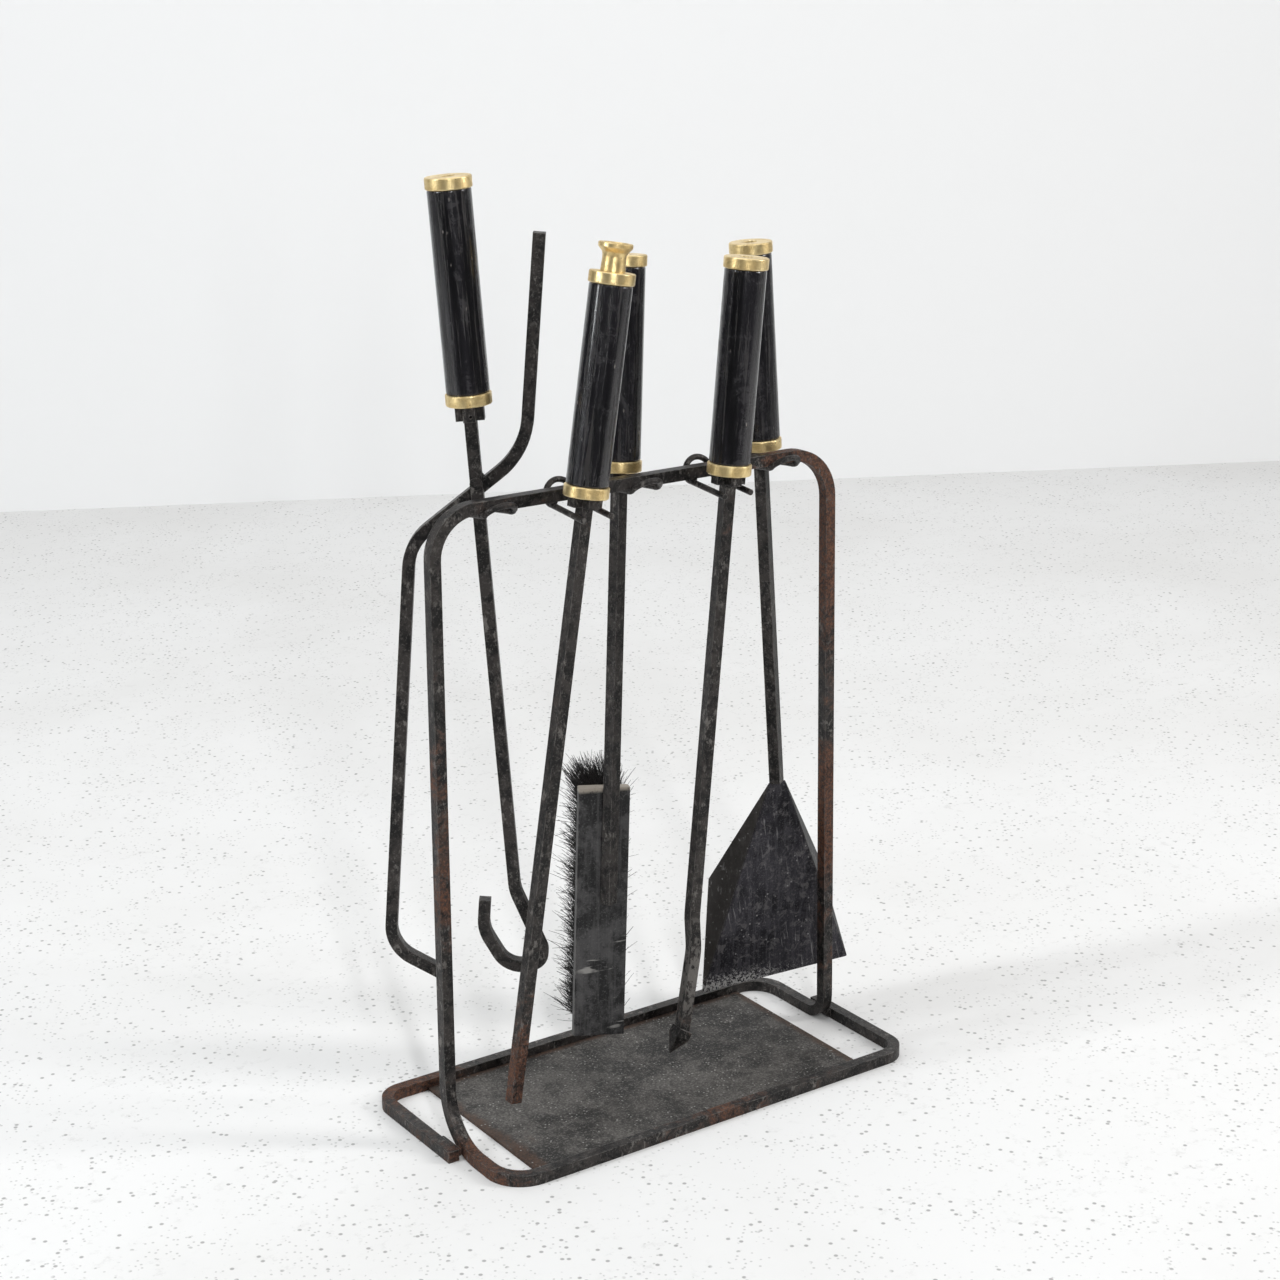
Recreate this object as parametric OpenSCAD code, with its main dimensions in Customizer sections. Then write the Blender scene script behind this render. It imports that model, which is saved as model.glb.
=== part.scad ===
// Fireplace tool set: a bent square-bar stand with five hooks, an ash plate, tongs,
// blow poker, brush, poker and shovel.
// Millimetres, +Z up, +X to the right, +Y to the back. Origin: centre of the stand's
// footprint, on the floor.

/* [Stand] */
// Side of the square bar
bar = 8; // [6:0.5:12]
// Outside length of the base ring
base_length = 350; // [300:1:420]
// Outside depth of the base ring
base_depth = 164; // [130:1:220]
// Height of the upper face of the top bar
frame_height = 437; // [380:1:500]
// Left upright, centre line at the base
left_leg_x = -160.5; // [-164:0.5:-150]
// Right upright, centre line at the base
right_leg_x = 161; // [150:0.5:163]
// How far the left upright leans in at the top
left_lean = 1.7; // [0:0.1:8]
// How far the right upright leans in at the top
right_lean = 5.5; // [0:0.1:8]
// Centre-line radius of the left upright's foot
left_foot_r = 38; // [14:1:45]
// Centre-line radius of the right upright's foot
right_foot_r = 16; // [14:1:45]
// Centre-line radius of the front left and back right corners
wide_corner_r = 23; // [12:1:30]
// Centre-line radius of the front right and back left corners
tight_corner_r = 17; // [12:1:30]
// Centre-line radius of the top left corner
top_left_r = 30; // [15:1:60]
// Centre-line radius of the top right corner
top_right_r = 33; // [15:1:60]
// How far each cut end runs past the middle of its side
cut_end_y = 24; // [5:1:40]

/* [Ash plate] */
// Left edge of the sheet
plate_left = -134; // [-150:1:-100]
// Right edge of the sheet
plate_right = 135.5; // [100:0.5:150]
// Sheet thickness
plate_t = 2; // [1:0.1:3]

/* [Hooks] */
// Wire diameter
wire_d = 4; // [3:0.5:6]
// Distance between the two prongs, centre to centre
prong_gap = 21; // [18:0.5:26]
// Reach of the prongs from the middle of the bar
prong_reach = 39; // [30:1:50]
// Droop of the prongs in degrees
prong_droop = 5; // [0:0.5:10]
// Reach of the tongs' prongs, which end under the crossing of the two arms
tongs_reach = 29; // [26:0.5:32]
// Droop of the tongs' prongs in degrees, bent down by the heavier tool
tongs_droop = 7.5; // [0:0.5:12]
// Slope of the loops of the two front hooks in degrees
front_loop_slope = 72; // [30:1:80]
// Slope of the loops of the three back hooks in degrees
back_loop_slope = 38; // [30:1:80]
// Positions of the hooks along the bar: tongs, blow poker, brush, poker, shovel
hook_x = [-112, -60.5, 0, 49.5, 114.5];

/* [Handles] */
// Distance of a hanging tool from the middle of the bar
hang_y = 25; // [20:1:32]
// Play between a collar and the prong that it rests on
seat_play = 0.3; // [0.1:0.1:1]
// Handle length over both brass ends
grip_length = 142; // [120:1:170]
// Wood diameter
wood_d = 27.6; // [22:0.2:34]
// Brass diameter
brass_d = 29.5; // [24:0.5:36]
// Height of the brass ends
brass_h = 7.5; // [5:0.5:12]
// Height of the iron collar
collar_h = 6.5; // [4:0.5:10]
// Width of the collar's arms
collar_w = 21.5; // [16:0.5:26]
// Height of the tongs' collar
tongs_collar_h = 10; // [6.5:0.5:14]

/* [Tool lengths] */
// Blow poker: tube below the collar
blow_length = 403; // [300:1:420]
// Poker: shaft below the collar
poker_length = 388; // [300:1:400]
// Brush: shaft below the collar
brush_length = 294; // [250:1:320]
// Brush: block length
block_length = 179; // [120:1:200]
// Brush: block width
block_w = 35.5; // [25:0.5:50]
// Brush: block thickness
block_t = 9; // [6:0.5:15]
// Brush: bristle length
bristle_length = 40; // [20:1:60]
// Shovel: shaft below the collar
shovel_length = 238; // [180:1:280]
// Shovel: blade length
blade_length = 154; // [110:1:170]
// Shovel: sheet thickness
blade_t = 1.6; // [1:0.1:3]

/* [Hidden] */
$fn = 64;
iron = "#2e2b2a";
brass = "#b9974c";
wood = "#1d1b1d";
half = bar / 2;
side_x = base_length / 2 - half;
side_y = base_depth / 2 - half;
top_z = frame_height - half;
left_angle = atan(left_lean / (top_z - half));
right_angle = -atan(right_lean / (top_z - half));
tang_r = 4.5;
tang_top = collar_h + grip_length - 5;
wood_bottom = collar_h + 1.5;
wood_top = collar_h + grip_length - 1.5;
seat_r = wood_d / 2 - 0.9;
hook_z = frame_height - bar - wire_d / 2;
prong_top = hook_z - hang_y * sin(prong_droop) + wire_d / 2;
// Tongs: the two arms lie in one upright plane turned to the right side
tongs_turn = -34.6;
tongs_tilt = -3.76;
tongs_at = [-113, 20.4, 439.2];
pivot_up = 4;
tongs_collar_up = 44.7;
lever_back = 8.3;
rivet_r = 3;
rivet_play = 0.05;

// ---- bent square bar in a plane -------------------------------------------------
function unit(v) = v / norm(v);
function cross2(a, b) = a[0] * b[1] - a[1] * b[0];
// One corner of a bent path: [tangent in, tangent out, centre, start angle, sweep, radius]
function corner(p, i, r) =
  let (a = unit(p[i] - p[i - 1]), b = unit(p[i + 1] - p[i]))
  let (turn = acos(a * b), side = sign(cross2(a, b)), t = r * tan(turn / 2))
  let (in_pt = p[i] - a * t, out_pt = p[i] + b * t)
  let (c = in_pt + side * r * [-a[1], a[0]], s = in_pt - c)
  [in_pt, out_pt, c, atan2(s[1], s[0]), side * turn, r];

// Straight runs are a hair slimmer than the bends and reach a little into them, so each path
// joins up as one solid
module stroke(p, q, w, before, after) {
  d = q - p;
  translate(p) rotate(atan2(d[1], d[0]))
    translate([-before, 0.01 - w / 2]) square([norm(d) + before + after, w - 0.02]);
}

module bend(c, w) {
  k = 1.5 * (c[5] + w);
  a = c[3];
  m = c[3] + c[4] / 2;
  z = c[3] + c[4];
  translate(c[2])
    intersection() {
      difference() {
        circle(c[5] + w / 2);
        circle(c[5] - w / 2);
      }
      polygon([[0, 0], k * [cos(a), sin(a)], k * [cos(m), sin(m)], k * [cos(z), sin(z)]]);
    }
}

// Square bar along the points p, rounded at each inner point with the radii r
module bent(p, r, w = bar) {
  n = len(p);
  lap = 0.4;
  c = [for (i = [1 : n - 2]) corner(p, i, r[i - 1])];
  linear_extrude(w, center = true) {
    stroke(p[0], c[0][0], w, 0, lap);
    for (i = [1 : 1 : n - 3]) stroke(c[i - 1][1], c[i][0], w, lap, lap);
    stroke(c[n - 3][1], p[n - 1], w, lap, 0);
    for (k = c) bend(k, w);
  }
}

// ---- stand ------------------------------------------------------------------------
// Foot of an upright, a hair slimmer than the bars that it runs into
module foot(x, angle, r, side, reach) {
  translate([x, 0, half]) rotate([0, angle, 0]) rotate([90, 0, 90])
    bent([[side * reach, 0], [0, 0], [0, r + 3]], [r], bar - 0.16);
}

module stand_bar() {
  lx = left_leg_x;
  rx = right_leg_x;
  la = left_foot_r + 0.5;
  ra = right_foot_r + 0.5;
  wide = side_y - wide_corner_r;
  color(iron) union() {
    translate([0, 0, half])
      bent([[lx, 2 - wide], [lx, -side_y], [side_x, -side_y], [side_x, cut_end_y]],
        [wide_corner_r, tight_corner_r]);
    translate([0, 0, half])
      bent([[rx, wide - 2], [rx, side_y], [-side_x, side_y], [-side_x, -cut_end_y]],
        [wide_corner_r, tight_corner_r]);
    foot(lx, left_angle, left_foot_r, -1, wide);
    foot(rx, right_angle, right_foot_r, 1, wide);
    rotate([90, 0, 0])
      bent([[lx + la * sin(left_angle), half + la * cos(left_angle)], [lx + left_lean, top_z],
        [rx - right_lean, top_z], [rx + ra * sin(right_angle), half + ra * cos(right_angle)]],
        [top_left_r, top_right_r]);
    // weld runs between each cut end and the bar beside it
    translate([(lx - side_x) / 2, -cut_end_y + 2, half + 0.5]) rotate([-90, 0, 0]) cylinder(r = 2.6, h = 22);
    translate([(rx + side_x) / 2, cut_end_y - 24, half + 0.5]) rotate([-90, 0, 0]) cylinder(r = 2.6, h = 22);
  }
}

module ash_plate() {
  color(iron)
    translate([plate_left, half - side_y, 0])
      cube([plate_right - plate_left, 2 * (side_y - half), plate_t]);
}

// ---- hooks: one wire folded into a fork, its loop standing up behind the bar --------
module hook(x, side, droop, reach) {
  r = wire_d / 2;
  knuckle = r + 0.15;
  loop_slope = side > 0 ? back_loop_slope : front_loop_slope;
  w = prong_gap / 2;
  bend_r = 5;
  step = bend_r * sin(droop);
  loop_at = [0, step + bend_r * sin(loop_slope), bend_r * (cos(droop) - cos(loop_slope))];
  color(iron)
    translate([x, 0, hook_z]) rotate([0, 0, side > 0 ? 180 : 0]) union() {
      for (s = [-1, 1]) {
        // prong, drooping towards its tip
        translate([s * w, 0, 0]) rotate([90 + droop, 0, 0]) cylinder(r = r, h = reach);
        translate([s * w, 0, 0]) sphere(knuckle);
        // turn upwards behind the bar
        translate([s * w, step, bend_r * cos(droop)]) rotate([0, 90, 0]) rotate([0, 0, -droop])
          rotate_extrude(angle = loop_slope + droop) translate([bend_r, 0]) circle(r);
        translate(loop_at + [s * w, 0, 0]) sphere(knuckle);
      }
      translate(loop_at) rotate([loop_slope, 0, 0]) rotate_extrude(angle = 180) translate([w, 0]) circle(r);
    }
}

module hook_tongs() { hook(hook_x[0], 1, tongs_droop, tongs_reach); }
module hook_blow() { hook(hook_x[1], -1, prong_droop, prong_reach); }
module hook_brush() { hook(hook_x[2], 1, prong_droop, prong_reach); }
module hook_poker() { hook(hook_x[3], -1, prong_droop, prong_reach); }
module hook_shovel() { hook(hook_x[4], 1, prong_droop, prong_reach); }

// ---- placing of the tools: collar's underside at the origin, shaft downwards ---------
module lean(at, x, y, spin) {
  b = atan(x);
  translate(at) rotate([-atan(y * cos(b)), b, 0]) rotate([0, 0, spin]) children();
}
// Height of a collar's underside: its lower edge just clears the prongs
function hang_z(x, y) = prong_top + seat_play + collar_w / 2 * abs(x) + half * abs(y);
module hang(x, side, lean_x, lean_y, spin) {
  lean([x, side * hang_y, hang_z(lean_x, lean_y)], lean_x, lean_y, spin) children();
}
module blow_place() { hang(-61.6, -1, 0.159, 0, 0) children(); }
module brush_place(spin) { hang(-1, 1, 0.0719, 0.045, spin) children(); }
module poker_place() { hang(51.5, -1, 0.0899, -0.01, -6) children(); }
module shovel_place(spin) { hang(117, 1, -0.0442, 0.032, spin) children(); }
module tongs_plane() { translate(tongs_at) rotate([0, tongs_tilt, tongs_turn]) children(); }
module tongs_collar_place() { tongs_plane() translate([0, 0, tongs_collar_up]) children(); }
module tongs_place() { tongs_collar_place() translate([0, 0, tongs_collar_h - collar_h]) children(); }

// ---- handle parts -------------------------------------------------------------------
// Brass cup with a rolled edge, open at the top
module cup() {
  r = brass_d / 2;
  color(brass)
    rotate_extrude()
      polygon([[tang_r, 0], [r - 0.6, 0], [r, 0.6], [r, brass_h - 0.6], [r - 0.6, brass_h],
        [seat_r, brass_h], [seat_r, 1.5], [tang_r, 1.5]]);
}

module ferrule() { translate([0, 0, collar_h]) cup(); }

module cap() { translate([0, 0, collar_h + grip_length]) mirror([0, 0, 1]) cup(); }

module grip() {
  r = wood_d / 2;
  low = collar_h + brass_h;
  high = collar_h + grip_length - brass_h;
  color(wood)
    rotate_extrude()
      polygon([[tang_r, wood_bottom], [seat_r, wood_bottom], [seat_r, low], [r - 0.5, low],
        [r, low + 1.2], [r, high - 1.2], [r - 0.5, high], [seat_r, high], [seat_r, wood_top],
        [tang_r, wood_top]]);
}

// Cross-shaped iron collar under the handle
module cross_collar(w, d, h = collar_h) {
  color(iron)
    difference() {
      union() {
        translate([-w / 2, -half, 0]) cube([w, bar, h]);
        translate([-half, -d / 2, 0]) cube([bar, d, h]);
      }
      translate([0, 0, -1]) cylinder(r = tang_r, h = h + 2);
    }
}

// Round end of a shaft inside its collar and grip
module tang(bore, below = 0) {
  difference() {
    translate([0, 0, -below]) cylinder(r = tang_r, h = tang_top + below);
    if (bore > 0) translate([0, 0, -1]) cylinder(r = bore, h = tang_top + 2);
  }
}

// ---- tongs ----------------------------------------------------------------------------
module tongs_cap() { tongs_place() cap(); }
module tongs_handle() { tongs_place() grip(); }
module tongs_ferrule() { tongs_place() ferrule(); }

module tongs_collar() {
  tongs_collar_place()
    difference() {
      cross_collar(18.2, 20, tongs_collar_h);
      translate([1, 0, 3.5]) rotate([90, 0, 0]) cylinder(r = 1, h = 30);
    }
}

module tongs_arm() {
  color(iron) {
    tongs_place() tang(0, tongs_collar_h - collar_h);
    tongs_plane()
      difference() {
        rotate([90, 0, 0])
          bent([[0, tongs_collar_up], [0, -274], [17.5, -327], [-9, -332], [-23.5, -301], [-20.5, -280]],
            [30, 9, 18, 25]);
        translate([0, 10, pivot_up]) rotate([90, 0, 0]) cylinder(r = rivet_r, h = 20);
      }
  }
}

module tongs_lever() {
  color(iron)
    tongs_plane()
      difference() {
        translate([0, lever_back, 0]) rotate([90, 0, 0])
          bent([[52.7, 157.5], [32.4, 20.7], [-47.1, -34.4], [-88, -312.9], [-53, -336.4]], [50, 35, 26]);
        translate([0, 20, pivot_up]) rotate([90, 0, 0]) cylinder(r = rivet_r + rivet_play, h = 30);
      }
}

module tongs_rivet() {
  color(iron)
    tongs_plane() translate([0, -half - 1, pivot_up]) rotate([-90, 0, 0]) {
      cylinder(r = rivet_r, h = bar + lever_back + 2);
      cylinder(r = 4.2, h = 1);
      translate([0, 0, bar + lever_back + 1.3]) cylinder(r = 4.6, h = 1.2);
    }
}

// ---- blow poker -------------------------------------------------------------------------
module blow_cap() { blow_place() cap(); }
module blow_handle() { blow_place() grip(); }
module blow_ferrule() { blow_place() ferrule(); }
module blow_collar() { blow_place() cross_collar(collar_w, collar_w); }

module blow_mouthpiece() {
  color(brass)
    blow_place() translate([0, 0, tang_top])
      rotate_extrude()
        polygon([[3, 0], [tang_r, 0], [tang_r, 5], [7.9, 5], [7.5, 14.5], [8.2, 17], [10.2, 19.2],
          [11, 20.2], [11, 22.4], [10.4, 23], [8.2, 23], [3, 15]]);
}

module blow_tube() {
  color(iron)
    blow_place() {
      tang(3);
      translate([0, 0, -blow_length])
        difference() {
          translate([-half, -half, 0]) cube([bar, bar, blow_length]);
          translate([0, 0, -1]) cylinder(r = 3, h = blow_length + 2);
        }
    }
}

// ---- brush --------------------------------------------------------------------------------
brush_spin = 12;
block_spin = -23.1;
block_up = -212.7;
block_x = -3.9;
block_face = 4.2;

module brush_rod() { translate([-half, -half, -brush_length]) cube([bar, bar, brush_length]); }

module brush_cap() { brush_place(brush_spin) cap(); }
module brush_handle() { brush_place(brush_spin) grip(); }
module brush_ferrule() { brush_place(brush_spin) ferrule(); }
module brush_collar() { brush_place(brush_spin) cross_collar(collar_w, collar_w); }

module brush_shaft() {
  color(iron) {
    brush_place(brush_spin) {
      tang(0);
      brush_rod();
    }
  }
}

// The block has a groove in which the shaft is let in
module brush_block() {
  w = block_w / 2;
  color(iron)
    difference() {
      brush_place(block_spin) translate([block_x, block_face, block_up]) rotate([180, 0, 0])
        linear_extrude(block_length)
          polygon([[-w, 0], [w, 0], [w, -block_t + 1.5], [w - 1.5, -block_t], [-w + 1.5, -block_t],
            [-w, -block_t + 1.5]]);
      brush_place(brush_spin) brush_rod();
    }
}

module brush_bristles() {
  w = block_w - 5;
  root = block_face + block_t;
  color("#161412")
    brush_place(block_spin) translate([block_x - w / 2, root, block_up]) rotate([90, 0, 90])
      linear_extrude(w)
        polygon([[0, -3], [bristle_length, 5], [bristle_length, -block_length - 1],
          [0, -block_length + 4]]);
}

// ---- poker --------------------------------------------------------------------------------
module poker_cap() { poker_place() cap(); }
module poker_handle() { poker_place() grip(); }
module poker_ferrule() { poker_place() ferrule(); }
module poker_collar() { poker_place() cross_collar(collar_w, collar_w); }

// Four-sided spike, point down
module spike(w, h) {
  intersection() {
    rotate([90, 0, 0]) linear_extrude(w, center = true) polygon([[-w / 2, 0], [w / 2, 0], [0, -h]]);
    rotate([90, 0, 90]) linear_extrude(w, center = true) polygon([[-w / 2, 0], [w / 2, 0], [0, -h]]);
  }
}

module poker_shaft() {
  low = -poker_length;
  color(iron)
    poker_place() {
      tang(0);
      rotate([90, 0, 0]) bent([[0, 0], [0, low + 84], [3.4, low + 60], [-0.6, low]], [40, 40]);
      translate([-0.6, 0, low]) rotate([0, 28, 0]) {
        translate([-5.5, -5.5, -5]) cube([11, 11, 6]);
        translate([0, 0, -4.9]) spike(11, 14);
      }
    }
}

// ---- shovel -------------------------------------------------------------------------------
shovel_spin = 32;
blade_spin = -10;
blade_tilt = 4.1;
neck_half = 6;
lip_left = 62.9;
lip_right = 56.5;
wall_up = 22.7;
wall_at = 84;
wall_fold = 58.7;

module shovel_cap() { shovel_place(shovel_spin) cap(); }
module shovel_handle() { shovel_place(shovel_spin) grip(); }
module shovel_ferrule() { shovel_place(shovel_spin) ferrule(); }
module shovel_collar() { shovel_place(shovel_spin) cross_collar(collar_w, collar_w); }

module shovel_shaft() {
  color(iron)
    shovel_place(shovel_spin) {
      tang(0);
      translate([-half, -half, -shovel_length]) cube([bar, bar, shovel_length]);
    }
}

// Side wall: a sheet folded back along the crease from the neck to the lip
module blade_wall(lip) {
  run = lip - neck_half;
  crease = norm([run, blade_length]);
  translate([neck_half, 0, 0]) rotate([0, atan(blade_length / run), 0]) rotate([270 - wall_fold, 0, 0])
    translate([0, 0, -blade_t / 2]) linear_extrude(blade_t)
      polygon([[0, 0], [crease, 0], [wall_at, -wall_up]]);
}

module shovel_blade() {
  color(iron)
    shovel_place(blade_spin) translate([0, 0, -shovel_length]) rotate([blade_tilt, 0, 0]) {
      rotate([90, 0, 0]) linear_extrude(blade_t, center = true)
        polygon([[-neck_half, 0], [neck_half, 0], [lip_right, -blade_length], [-lip_left, -blade_length]]);
      blade_wall(lip_right);
      mirror([1, 0, 0]) blade_wall(lip_left);
    }
}

stand_bar();
ash_plate();
hook_tongs();
hook_blow();
hook_brush();
hook_poker();
hook_shovel();
tongs_cap();
tongs_handle();
tongs_ferrule();
tongs_collar();
tongs_arm();
tongs_lever();
tongs_rivet();
blow_mouthpiece();
blow_cap();
blow_handle();
blow_ferrule();
blow_collar();
blow_tube();
brush_cap();
brush_handle();
brush_ferrule();
brush_collar();
brush_shaft();
brush_block();
brush_bristles();
poker_cap();
poker_handle();
poker_ferrule();
poker_collar();
poker_shaft();
shovel_cap();
shovel_handle();
shovel_ferrule();
shovel_collar();
shovel_shaft();
shovel_blade();
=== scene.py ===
"""Fireplace tool set: finishes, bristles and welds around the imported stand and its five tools.

Everything is in metres. +Z is up, +X to the right along the stand, +Y to the back.
Colours are linear red, green and blue.
"""
import math
import random

import bmesh
import bpy
from mathutils import Matrix, Vector, noise


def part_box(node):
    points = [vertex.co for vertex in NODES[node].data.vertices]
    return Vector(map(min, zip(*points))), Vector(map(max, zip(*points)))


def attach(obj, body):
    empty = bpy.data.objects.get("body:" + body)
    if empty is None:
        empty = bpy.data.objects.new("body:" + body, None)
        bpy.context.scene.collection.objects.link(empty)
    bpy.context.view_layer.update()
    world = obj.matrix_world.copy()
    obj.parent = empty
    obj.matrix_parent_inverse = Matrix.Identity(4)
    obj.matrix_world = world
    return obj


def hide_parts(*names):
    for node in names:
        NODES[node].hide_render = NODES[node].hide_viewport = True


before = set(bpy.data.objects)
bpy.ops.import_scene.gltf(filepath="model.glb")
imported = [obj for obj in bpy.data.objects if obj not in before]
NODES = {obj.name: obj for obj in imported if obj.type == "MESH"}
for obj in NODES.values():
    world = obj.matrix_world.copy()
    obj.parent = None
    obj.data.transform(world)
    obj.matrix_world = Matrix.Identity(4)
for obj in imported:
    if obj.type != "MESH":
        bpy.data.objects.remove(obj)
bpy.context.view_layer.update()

MM = 0.001
UP = Vector((0, 0, 1))
BODY_OF = {"tongs": "tongs", "blow": "blow_poker", "brush": "brush", "poker": "poker", "shovel": "shovel"}


# ---- where things are, worked out from the imported parts ------------------------------------
def centre(node):
    low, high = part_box(node)
    return (low + high) / 2


def grip_axis(tool):
    """Unit vector up the grip of a tool, from its ferrule to its cap."""
    return (centre(f"{tool}_cap") - centre(f"{tool}_ferrule")).normalized()


def lowest_part(node, rise):
    """Middle of the points of a node that are less than rise above its foot."""
    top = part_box(node)[0].z + rise
    points = [v.co for v in NODES[node].data.vertices if v.co.z < top]
    return sum(points, Vector()) / len(points)


# ---- shader sums -------------------------------------------------------------------------------
class Value:
    """One socket of a finish; sums on it add Math nodes."""

    def __init__(self, finish, socket):
        self.finish = finish
        self.socket = socket

    def sum(self, operation, a, b):
        return self.finish.add("Math", {"operation": operation}, {0: a, 1: b})

    def __add__(self, other):
        return self.sum("ADD", self, other)

    def __radd__(self, other):
        return self.sum("ADD", other, self)

    def __sub__(self, other):
        return self.sum("SUBTRACT", self, other)

    def __rsub__(self, other):
        return self.sum("SUBTRACT", other, self)

    def __mul__(self, other):
        return self.sum("MULTIPLY", self, other)

    def __rmul__(self, other):
        return self.sum("MULTIPLY", other, self)

    def over(self, other):
        """The larger of the two."""
        return self.sum("MAXIMUM", self, other)


class Finish:
    """A material in the making."""

    def __init__(self, name):
        self.material = bpy.data.materials.new(name)
        self.material.use_nodes = True
        self.tree = self.material.node_tree
        self.tree.nodes.clear()
        self.place = self.add("TexCoord", out="Object")

    def add(self, kind, settings=None, inputs=None, out=0):
        """Adds a node: settings first, then sockets; gives back one of its outputs."""
        node = self.tree.nodes.new("ShaderNode" + kind)
        for key, value in (settings or {}).items():
            setattr(node, key, value)
        for key, value in (inputs or {}).items():
            if isinstance(value, Value):
                self.tree.links.new(value.socket, node.inputs[key])
            else:
                node.inputs[key].default_value = value
        return Value(self, node.outputs[out])

    def axis(self, letter):
        """The object's own X, Y or Z."""
        return self.add("SeparateXYZ", None, {0: self.place}, out=letter)

    def stretch(self, scale, turn=(0, 0, 0)):
        """The object's own place, turned and scaled."""
        turned = self.add("Mapping", {"vector_type": "POINT"}, {"Vector": self.place, "Rotation": turn})
        return self.add("Mapping", {"vector_type": "POINT"}, {"Vector": turned, "Scale": scale})

    def noise(self, scale, detail=4.0, rough=0.55, at=None, warp=0.0):
        return self.add("TexNoise", None, {"Vector": at or self.place, "Scale": scale, "Detail": detail,
                                           "Roughness": rough, "Distortion": warp})

    def cells(self, scale, at=None, flat=False):
        """Distance to the nearest of many scattered points."""
        return self.add("TexVoronoi", {"voronoi_dimensions": "2D" if flat else "3D"},
                        {"Vector": at or self.place, "Scale": scale}, out="Distance")

    def between(self, value, low, high):
        """0 below low, 1 above high, smooth between; high may be the lower one."""
        return self.add("MapRange", {"interpolation_type": "SMOOTHSTEP", "clamp": True},
                        {"Value": value, "From Min": low, "From Max": high})

    def scale(self, value, low, high):
        """0..1 taken to low..high."""
        return self.add("MapRange", {"clamp": True}, {"Value": value, "To Min": low, "To Max": high})

    def blend(self, share, a, b):
        """Colour a where share is 0, colour b where it is 1."""
        a, b = [(*c, 1) if isinstance(c, tuple) else c for c in (a, b)]
        return self.add("Mix", {"data_type": "RGBA"}, {"Factor": share, 6: a, 7: b}, out=2)

    def near(self, spot, reach):
        """1 at a spot, falling to 0 at reach."""
        gap = self.add("VectorMath", {"operation": "DISTANCE"}, {0: self.place, 1: spot}, out="Value")
        return self.between(gap, reach, 0.0)

    def facing(self, way):
        """1 on sides that face a way, in the object's own directions."""
        normal = self.add("TexCoord", out="Normal")
        same = self.add("VectorMath", {"operation": "DOT_PRODUCT"}, {0: normal, 1: way}, out="Value")
        return self.between(same, 0.86, 0.95)

    def rounded(self, radius):
        return self.add("Bevel", {"samples": 6}, {"Radius": radius})

    def edge(self, radius):
        """1 on a sharp outer or inner edge, 0 on a flat."""
        true = self.add("NewGeometry", out="Normal")
        same = self.add("VectorMath", {"operation": "DOT_PRODUCT"}, {0: self.rounded(radius), 1: true},
                        out="Value")
        return self.between(same, 0.995, 0.86)

    def bump(self, height, depth, normal=None):
        inputs = {"Height": height, "Distance": depth, "Strength": 1.0}
        if normal:
            inputs["Normal"] = normal
        return self.add("Bump", None, inputs)


def close(finish, **sockets):
    """Links a principled shader to the material's output."""
    inputs = {key.replace("_", " "): value for key, value in sockets.items()}
    shader = finish.add("BsdfPrincipled", None, inputs)
    output = finish.tree.nodes.new("ShaderNodeOutputMaterial")
    finish.tree.links.new(shader.socket, output.inputs["Surface"])
    return finish.material


# ---- iron ----------------------------------------------------------------------------------------
FORGE_BLACK = (0.0046, 0.0041, 0.0040)
FADED_BLACK = (0.034, 0.0292, 0.0268)
IRON_GRIT = (0.088, 0.082, 0.077)
IRON_DUST = (0.200, 0.186, 0.172)
DEEP_RUST = (0.045, 0.0165, 0.0100)
BRIGHT_RUST = (0.165, 0.072, 0.040)
BARE_IRON = (0.26, 0.245, 0.23)


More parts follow.
